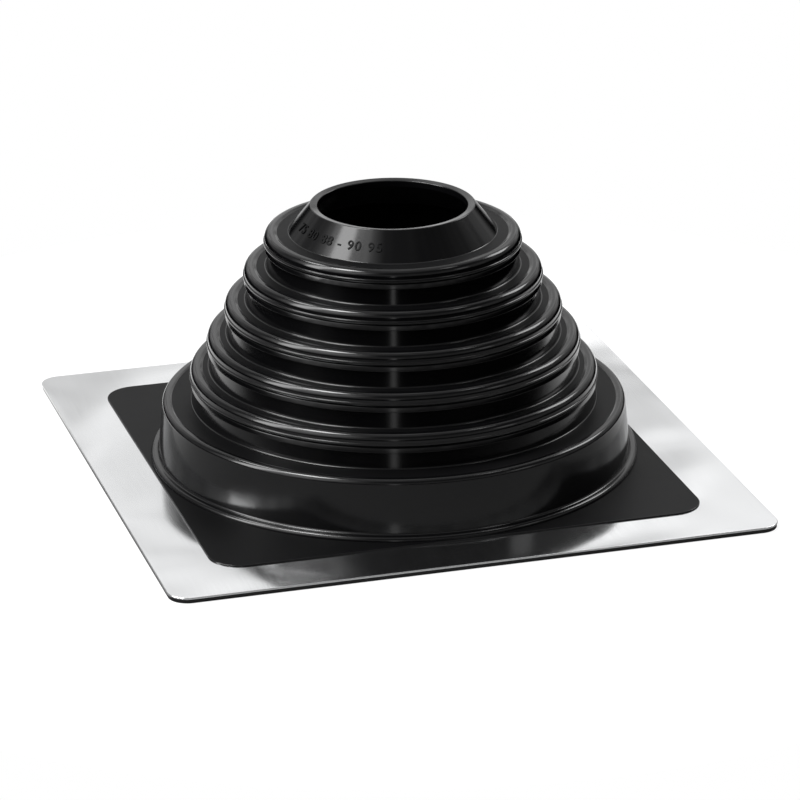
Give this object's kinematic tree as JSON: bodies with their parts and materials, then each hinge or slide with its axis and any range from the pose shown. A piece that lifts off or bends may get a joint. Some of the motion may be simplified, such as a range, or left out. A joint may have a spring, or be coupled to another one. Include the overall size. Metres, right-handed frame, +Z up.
{
  "type": "pipe flashing boot",
  "caption": "Stepped black rubber boot on a soft square aluminium sheet, which seals a round pipe or flue where it comes through a metal roof.",
  "frame": {"origin": "on the pipe's axis, at the underside of the rubber skirt", "axes": "+Z up the pipe's axis, out of the roof; +X and +Y square to the sides of the sheet"},
  "size_m": [0.36, 0.36, 0.1584],
  "materials": {
    "epdm_rubber": "moulded black EPDM with a satin gloss",
    "aluminium_sheet": "bright rolled soft sheet"
  },
  "bodies": {
    "root": {"epdm_boot": "epdm_rubber", "aluminium_base_frame": "aluminium_sheet"}
  },
  "joints": []
}
